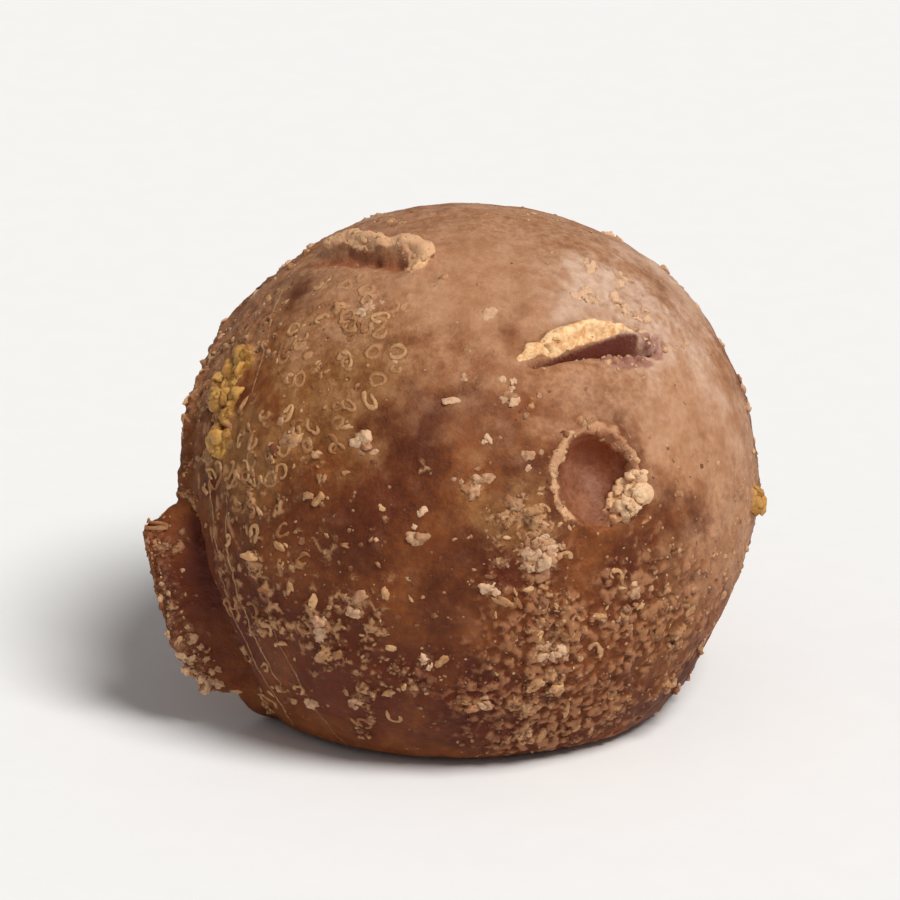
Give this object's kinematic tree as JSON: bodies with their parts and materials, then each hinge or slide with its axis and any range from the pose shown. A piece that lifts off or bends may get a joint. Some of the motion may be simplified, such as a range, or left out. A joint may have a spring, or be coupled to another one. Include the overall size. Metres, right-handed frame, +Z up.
{
  "type": "jaggery lump",
  "caption": "Dome-shaped lump of brown jaggery with a crusty skin, a burst bubble and a scar on its front, and a smooth, lipped cast face at its back left.",
  "frame": {"origin": "middle of the underside of the lump's box, on the surface it lies on", "axes": "+Z up; -Y towards the side with the burst bubble; -X towards the lip of the cast face"},
  "size_m": [0.052, 0.05, 0.0417],
  "materials": {
    "jaggery": "brown cooked cane sugar, dull and crusty with pale crystals, a little waxy where it is smooth"
  },
  "bodies": {
    "root": {"jaggery_lump": "jaggery"}
  },
  "joints": []
}
